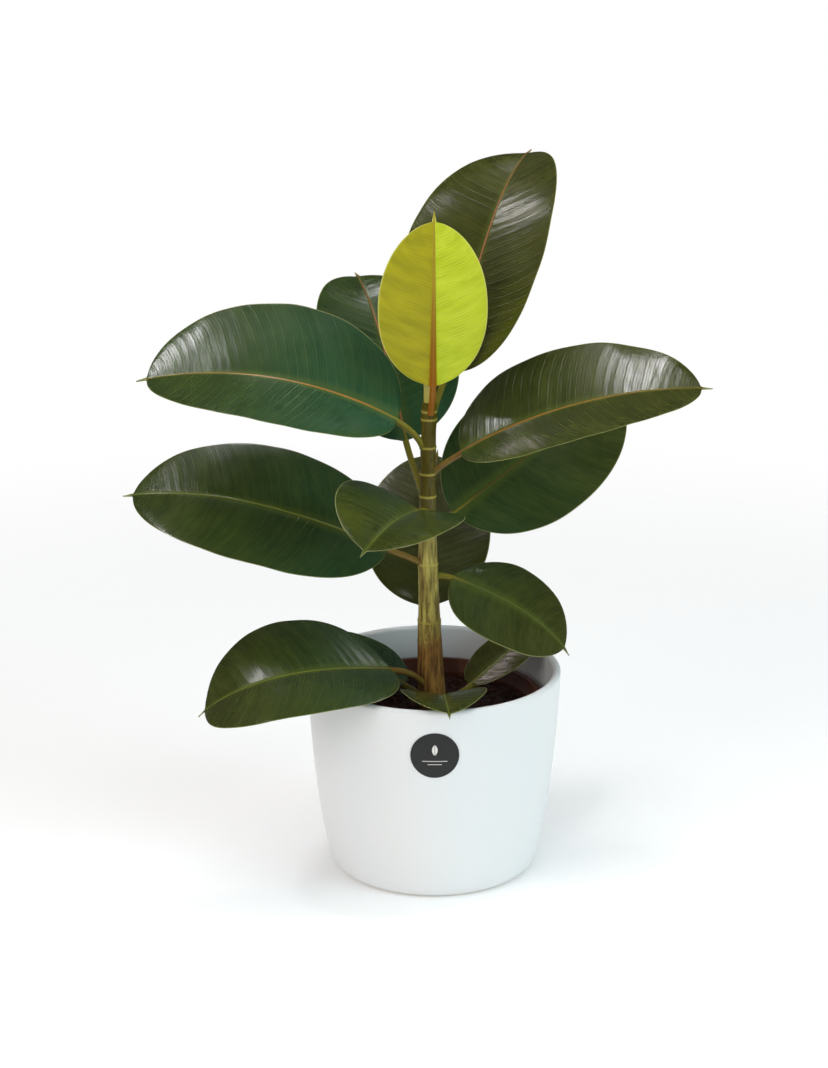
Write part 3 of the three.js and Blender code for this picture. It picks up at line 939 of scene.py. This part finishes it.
def leaf_slices(leaf):
    """Every row of the rolled grid, from the stalk's foot to the tip."""
    centre, radius = stem_at(leaf["at"] * stem_height)
    root = centre + way(leaf["side"], 0) * (radius - 0.0015)
    stalk = leaf["stalk"] * MM
    set_out = way(leaf["side"], leaf["rise"])
    base = root + (set_out + way(leaf["heading"], leaf["pitch"])).normalized() * stalk
    line = midrib(leaf, base)
    first = line[0]
    end = base - first.up * petiole_radius / 2
    knots = (root, root + set_out * stalk / 3, end - first.along * stalk / 3, end)
    rows = []
    for i in range(stalk_rows):
        t = i / stalk_rows
        weights = ((1 - t) ** 3, 3 * t * (1 - t) ** 2, 3 * t * t * (1 - t), t ** 3)
        point = sum((knot * weight for knot, weight in zip(knots, weights)), Vector())
        slopes = (-(1 - t) ** 2, (1 - t) * (1 - 3 * t), t * (2 - 3 * t), t * t)
        tangent = sum((knot * slope for knot, slope in zip(knots, slopes)), Vector()).normalized()
        left = (first.left - tangent * first.left.dot(tangent)).normalized()
        up = tangent.cross(left)
        rib = petiole_radius * (1 + 0.3 * math.exp(-t * stalk / 0.003))
        rows.append(Row(point + up * rib / 2, left, up, 0.0, rib, 0.0, 0.0))
    for share in shares:
        here = on_midrib(line, share)
        half = half_width(leaf, share)
        rib = lerp(petiole_radius, rib_tip, clamp(share / 0.93) ** 0.8)
        if share > 0.5:
            rib = min(rib, 0.6 * half)
        merge = smooth((half - rib) / (2.5 * petiole_radius)) if share < 0.5 else 1.0
        rows.append(Row(here.point, here.left, here.up, half, rib, share, merge))
    return rows


def hump(x):
    return (1 - x * x) ** 2 if abs(x) < 1 else 0.0


def leaf_point(leaf, seed, row, side, top):
    """A point of the leaf's skin, with what its finish needs to know there."""
    width = max(row.half, row.rib) if row.share < 0.5 else row.half
    off = width * abs(side)
    rib = max(row.rib, 1e-5)
    round_half = math.sqrt(max(rib * rib - off * off, 0.0))
    round_height = -rib / 2 + top * round_half
    edge = blade_thickness / 2 * math.sqrt(1 - abs(side) ** 8)
    if top > 0:
        flat_height = edge + 0.32 * rib * hump(off / (0.62 * rib))
    else:
        flat_height = -edge - (1.5 * rib - edge) * hump(off / (1.7 * rib))
    height = lerp(round_height, flat_height, row.merge)
    fold, cup = math.radians(leaf["fold"]), math.radians(leaf["cup"])
    margin = fold + cup * abs(side)
    out = lerp(off, width * (math.sin(margin) - math.sin(fold)) / cup, row.merge)
    rise = width * (math.cos(fold) - math.cos(margin)) / cup * row.merge
    along = row.share * leaf["length"]
    aside = off / MM
    veer = 1.6 * noise.noise(Vector((along / 22, seed + math.copysign(4, side), aside / 60)))
    veins = (along - 0.3 * aside - 5 * abs(side) ** 4 + veer) / vein_gap_mm
    clear = smooth(off / 0.006) * (1 - abs(side) ** 6) * row.merge
    quilt = 0.00005 * math.cos(math.tau * veins) * clear
    wave = 0.0011 * abs(side) ** 3 * noise.noise(Vector((along / 24, seed + math.copysign(9, side), 0)))
    swell = 0.0012 * abs(side) * noise.noise(Vector((along / 45, side * 1.2, seed + 3)))
    lift = height + rise + quilt + (wave + swell) * row.merge
    point = row.centre + row.left * math.copysign(out, side) + row.up * lift
    return point, (side, row.share, (width - off) / MM), min(off / rib, 8.0), veins


def leaf_form(name, seed):
    """A whole leaf as one rolled grid, with its layers for the finish."""
    leaf = settled(name)
    rows = leaf_slices(leaf)
    last = len(rows)

    def place_on_leaf(column, row, vert, layers):
        side, top = sides[column]
        slice_at = rows[clamp_row(row - 1, last)]
        point, blade, rib, veins = leaf_point(leaf, seed, slice_at, side, top)
        if row == 0:
            point = slice_at.centre - slice_at.up * slice_at.rib / 2
        vert.co = point
        vert[layers["blade"]] = blade
        vert[layers["rib"]] = rib
        vert[layers["veins"]] = veins
        vert[layers["under"]] = 0.5 if abs(side) > 0.9999 else (1 - top) / 2
        vert[layers["stalk"]] = 1 - slice_at.merge

    kinds = [("blade", "float_vector"), ("rib", "float"), ("veins", "float"), ("under", "float"),
             ("stalk", "float")]
    return rolled(leaf_columns, last, place_on_leaf, kinds)


def clamp_row(row, count):
    return max(0, min(count - 1, row))


# %% [markdown]
# The upper face of a grown leaf is dark, leathery and polished, with a wandering gloss. Streaks run out
# along its side veins, in the colour and as ripples that break up the highlights. It is a little lighter
# along the midrib, and a thin pale line runs along the margin. The underside is paler and duller. One
# function makes every grown leaf's finish, because they differ only in a few tones.

# %% The grown leaf's finish
rib_tones = {"tan": paint(156, 106, 44), "pink": paint(164, 96, 72), "lime": paint(116, 122, 46),
             "sage": paint(86, 98, 44), "olive": paint(88, 76, 36)}
stalk_tones = {"olive": paint(116, 108, 30), "russet": paint(112, 62, 36)}


def leaf_finish(name, leaf):
    """The finish of one grown leaf."""
    look = Finish(name + "_green")
    blade = look.attribute("blade", "Vector")
    side, share, margin = (look.axis(blade, i) for i in range(3))
    rib, veins = look.attribute("rib"), look.attribute("veins")
    under = look.ease(look.attribute("under"), 0.3, 0.7)
    stalk = look.attribute("stalk")
    broad, mid = look.noise(24, 3), look.noise(110, 4)
    vein_wave = look.math("COSINE", look.times(veins, math.tau))
    vein_line = look.ease(vein_wave, 0.93, 1.0)
    fine_wave = look.math("COSINE", look.times(veins, 3 * math.tau))
    fine_line = look.ease(fine_wave, 0.7, 1.0)
    tone = look.plus(look.times(broad, 0.6), look.times(mid, 0.4))
    wide_streaks, thin_streaks = look.streaks(veins, side, 0.55), look.streaks(veins, side, 2.6)
    streaked = look.plus(look.times(tone, 0.4), look.times(wide_streaks, 0.35))
    streaked = look.plus(streaked, look.times(thin_streaks, 0.25))
    streaked = look.ease(streaked, 0.3, 0.7)
    green = look.mix(streaked, paint(34, 47, 13), paint(55, 70, 23))
    green = look.mix(leaf["warm"], green, look.mix(streaked, paint(54, 50, 14), paint(80, 74, 24)))
    # painted reflection: a bluish sheen, strongest by the blade's base and fading towards its tip
    sheen_near_base = look.times(look.ease(share, 0.0, 0.85, 1.0, 0.1), 0.75 * leaf["blue_sheen"])
    green = look.mix(look.times(sheen_near_base, look.ease(broad, 0.1, 0.9, 0.6)), green, paint(20, 84, 64))
    pale_veins = look.plus(look.times(vein_line, 0.1), look.times(fine_line, 0.04))
    green = look.mix(pale_veins, green, paint(98, 116, 52))
    by_rib = look.ease(rib, 0.8, 5.0, 0.25, 0.0)
    green = look.mix(by_rib, green, paint(100, 112, 40))
    back = look.mix(look.ease(tone, 0.3, 0.7), paint(66, 74, 42), paint(88, 94, 60))
    back = look.mix(pale_veins, back, paint(126, 130, 84))
    green = look.mix(under, green, back)
    edge_line = look.times(look.ease(margin, 0.25, 0.75, 1.0, 0.0), look.ease(stalk, 0.0, 0.4, 0.75, 0.0))
    green = look.mix(edge_line, green, paint(148, 150, 92))
    rib_mask = look.mix(under, look.ease(rib, 0.3, 0.62, 1.0, 0.0), look.ease(rib, 0.9, 1.6, 1.0, 0.0))
    rib_mask = look.larger(rib_mask, look.ease(stalk, 0.3, 0.9))
    petiole = look.mix(look.noise(160), stalk_tones[leaf["stalk_tone"]], paint(122, 112, 40))
    rib_tone = look.mix(look.ease(share, 0.0, 0.18), petiole, rib_tones[leaf["rib"]])
    green = look.mix(look.times(rib_mask, 0.92), green, rib_tone)
    grain = look.times(look.noise(900, 3), 0.25)
    veins_up = look.plus(look.times(vein_line, 0.5), look.times(fine_line, 0.22))
    ripples = look.plus(look.times(wide_streaks, 4.0), look.times(thin_streaks, 0.9))
    look.relief(look.plus(look.plus(grain, veins_up), ripples), 0.0001)
    gloss = look.ease(tone, 0.3, 0.7, 0.17, 0.27)
    look.set(base_color=green, roughness=look.plus(gloss, look.times(under, 0.2)))
    return look.material


# %% [markdown]
# The newest leaf has not hardened yet. It is thin, yellow-green and lets light through, and its back faces
# the front of the plant, so its stout orange-brown rib shows. One half is lime; the other is painted darker
# and more orange, as painted shade for the half that the fold turns from the light.

# %% The young leaf's finish
young = Finish("young_green")
young_blade = young.attribute("blade", "Vector")
young_side, young_share, young_margin = (young.axis(young_blade, i) for i in range(3))
young_rib, young_veins = young.attribute("rib"), young.attribute("veins")
young_streaks = young.ease(young.streaks(young_veins, young_side, 2.0), 0.35, 0.7)
young_wave = young.math("COSINE", young.times(young_veins, 3 * math.tau))
young_lines = young.times(young.ease(young_wave, 0.2, 1.0), young_streaks)
young_mottle = young.ease(young.streaks(young_veins, young_side, 0.8, 4), 0.2, 0.8)
lime = young.mix(young_mottle, paint(186, 198, 16), paint(210, 219, 52))
# painted shade: a darker, more orange copy of the yellow for the half that the fold turns from the light
shaded_half = young.mix(young_mottle, paint(154, 148, 0), paint(184, 174, 8))
yellow = young.mix(young.ease(young_side, -0.06, 0.06), shaded_half, lime)
yellow = young.mix(young.times(young_lines, 0.32), yellow, paint(126, 122, 10))
yellow = young.mix(young.ease(young_margin, 0.3, 1.0, 0.7, 0.0), yellow, paint(222, 222, 120))
young_mask = young.ease(young_rib, 1.0, 1.6, 1.0, 0.0)
young_mask = young.larger(young_mask, young.ease(young.attribute("stalk"), 0.2, 0.9))
rib_brown = young.mix(young.ease(young_share, 0.0, 0.85), paint(158, 100, 18), paint(186, 164, 40))
rib_brown = young.mix(young.times(young.noise(300, 3, (1, 1, 0.1)), 0.5), rib_brown, paint(128, 74, 14))
young.relief(young.plus(young.times(young_lines, 0.5), young.noise(700, 3)), 0.00012)
young.shader.inputs["Subsurface Weight"].default_value = 0.25
young.shader.inputs["Subsurface Radius"].default_value = (0.9, 1.0, 0.15)
young.shader.inputs["Subsurface Scale"].default_value = 0.002
young.set(base_color=young.mix(young_mask, yellow, rib_brown), roughness=0.45)

# %% [markdown]
# Every leaf is now one call, and each has its own seed, so that no two have the same waves.

# %% Making the leaves
for seed, name in enumerate(leaf_table):
    leaf = settled(name)
    look = young.material if leaf["young"] else leaf_finish(name, leaf)
    piece(leaf_form(name, 17 * seed), name, look, crease=80)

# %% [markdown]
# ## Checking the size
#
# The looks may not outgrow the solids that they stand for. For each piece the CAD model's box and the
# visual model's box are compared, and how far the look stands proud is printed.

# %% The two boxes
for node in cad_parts:
    low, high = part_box(node)
    made = bpy.data.objects[node + "_look"]
    corners = [made.matrix_world @ Vector(corner) for corner in made.bound_box]
    spans = [[corner[i] for corner in corners] for i in range(3)]
    over = max(max(low[i] - min(spans[i]), max(spans[i]) - high[i]) for i in range(3))
    print(node, "stands proud by at most", round(1000 * over, 2), "mm")
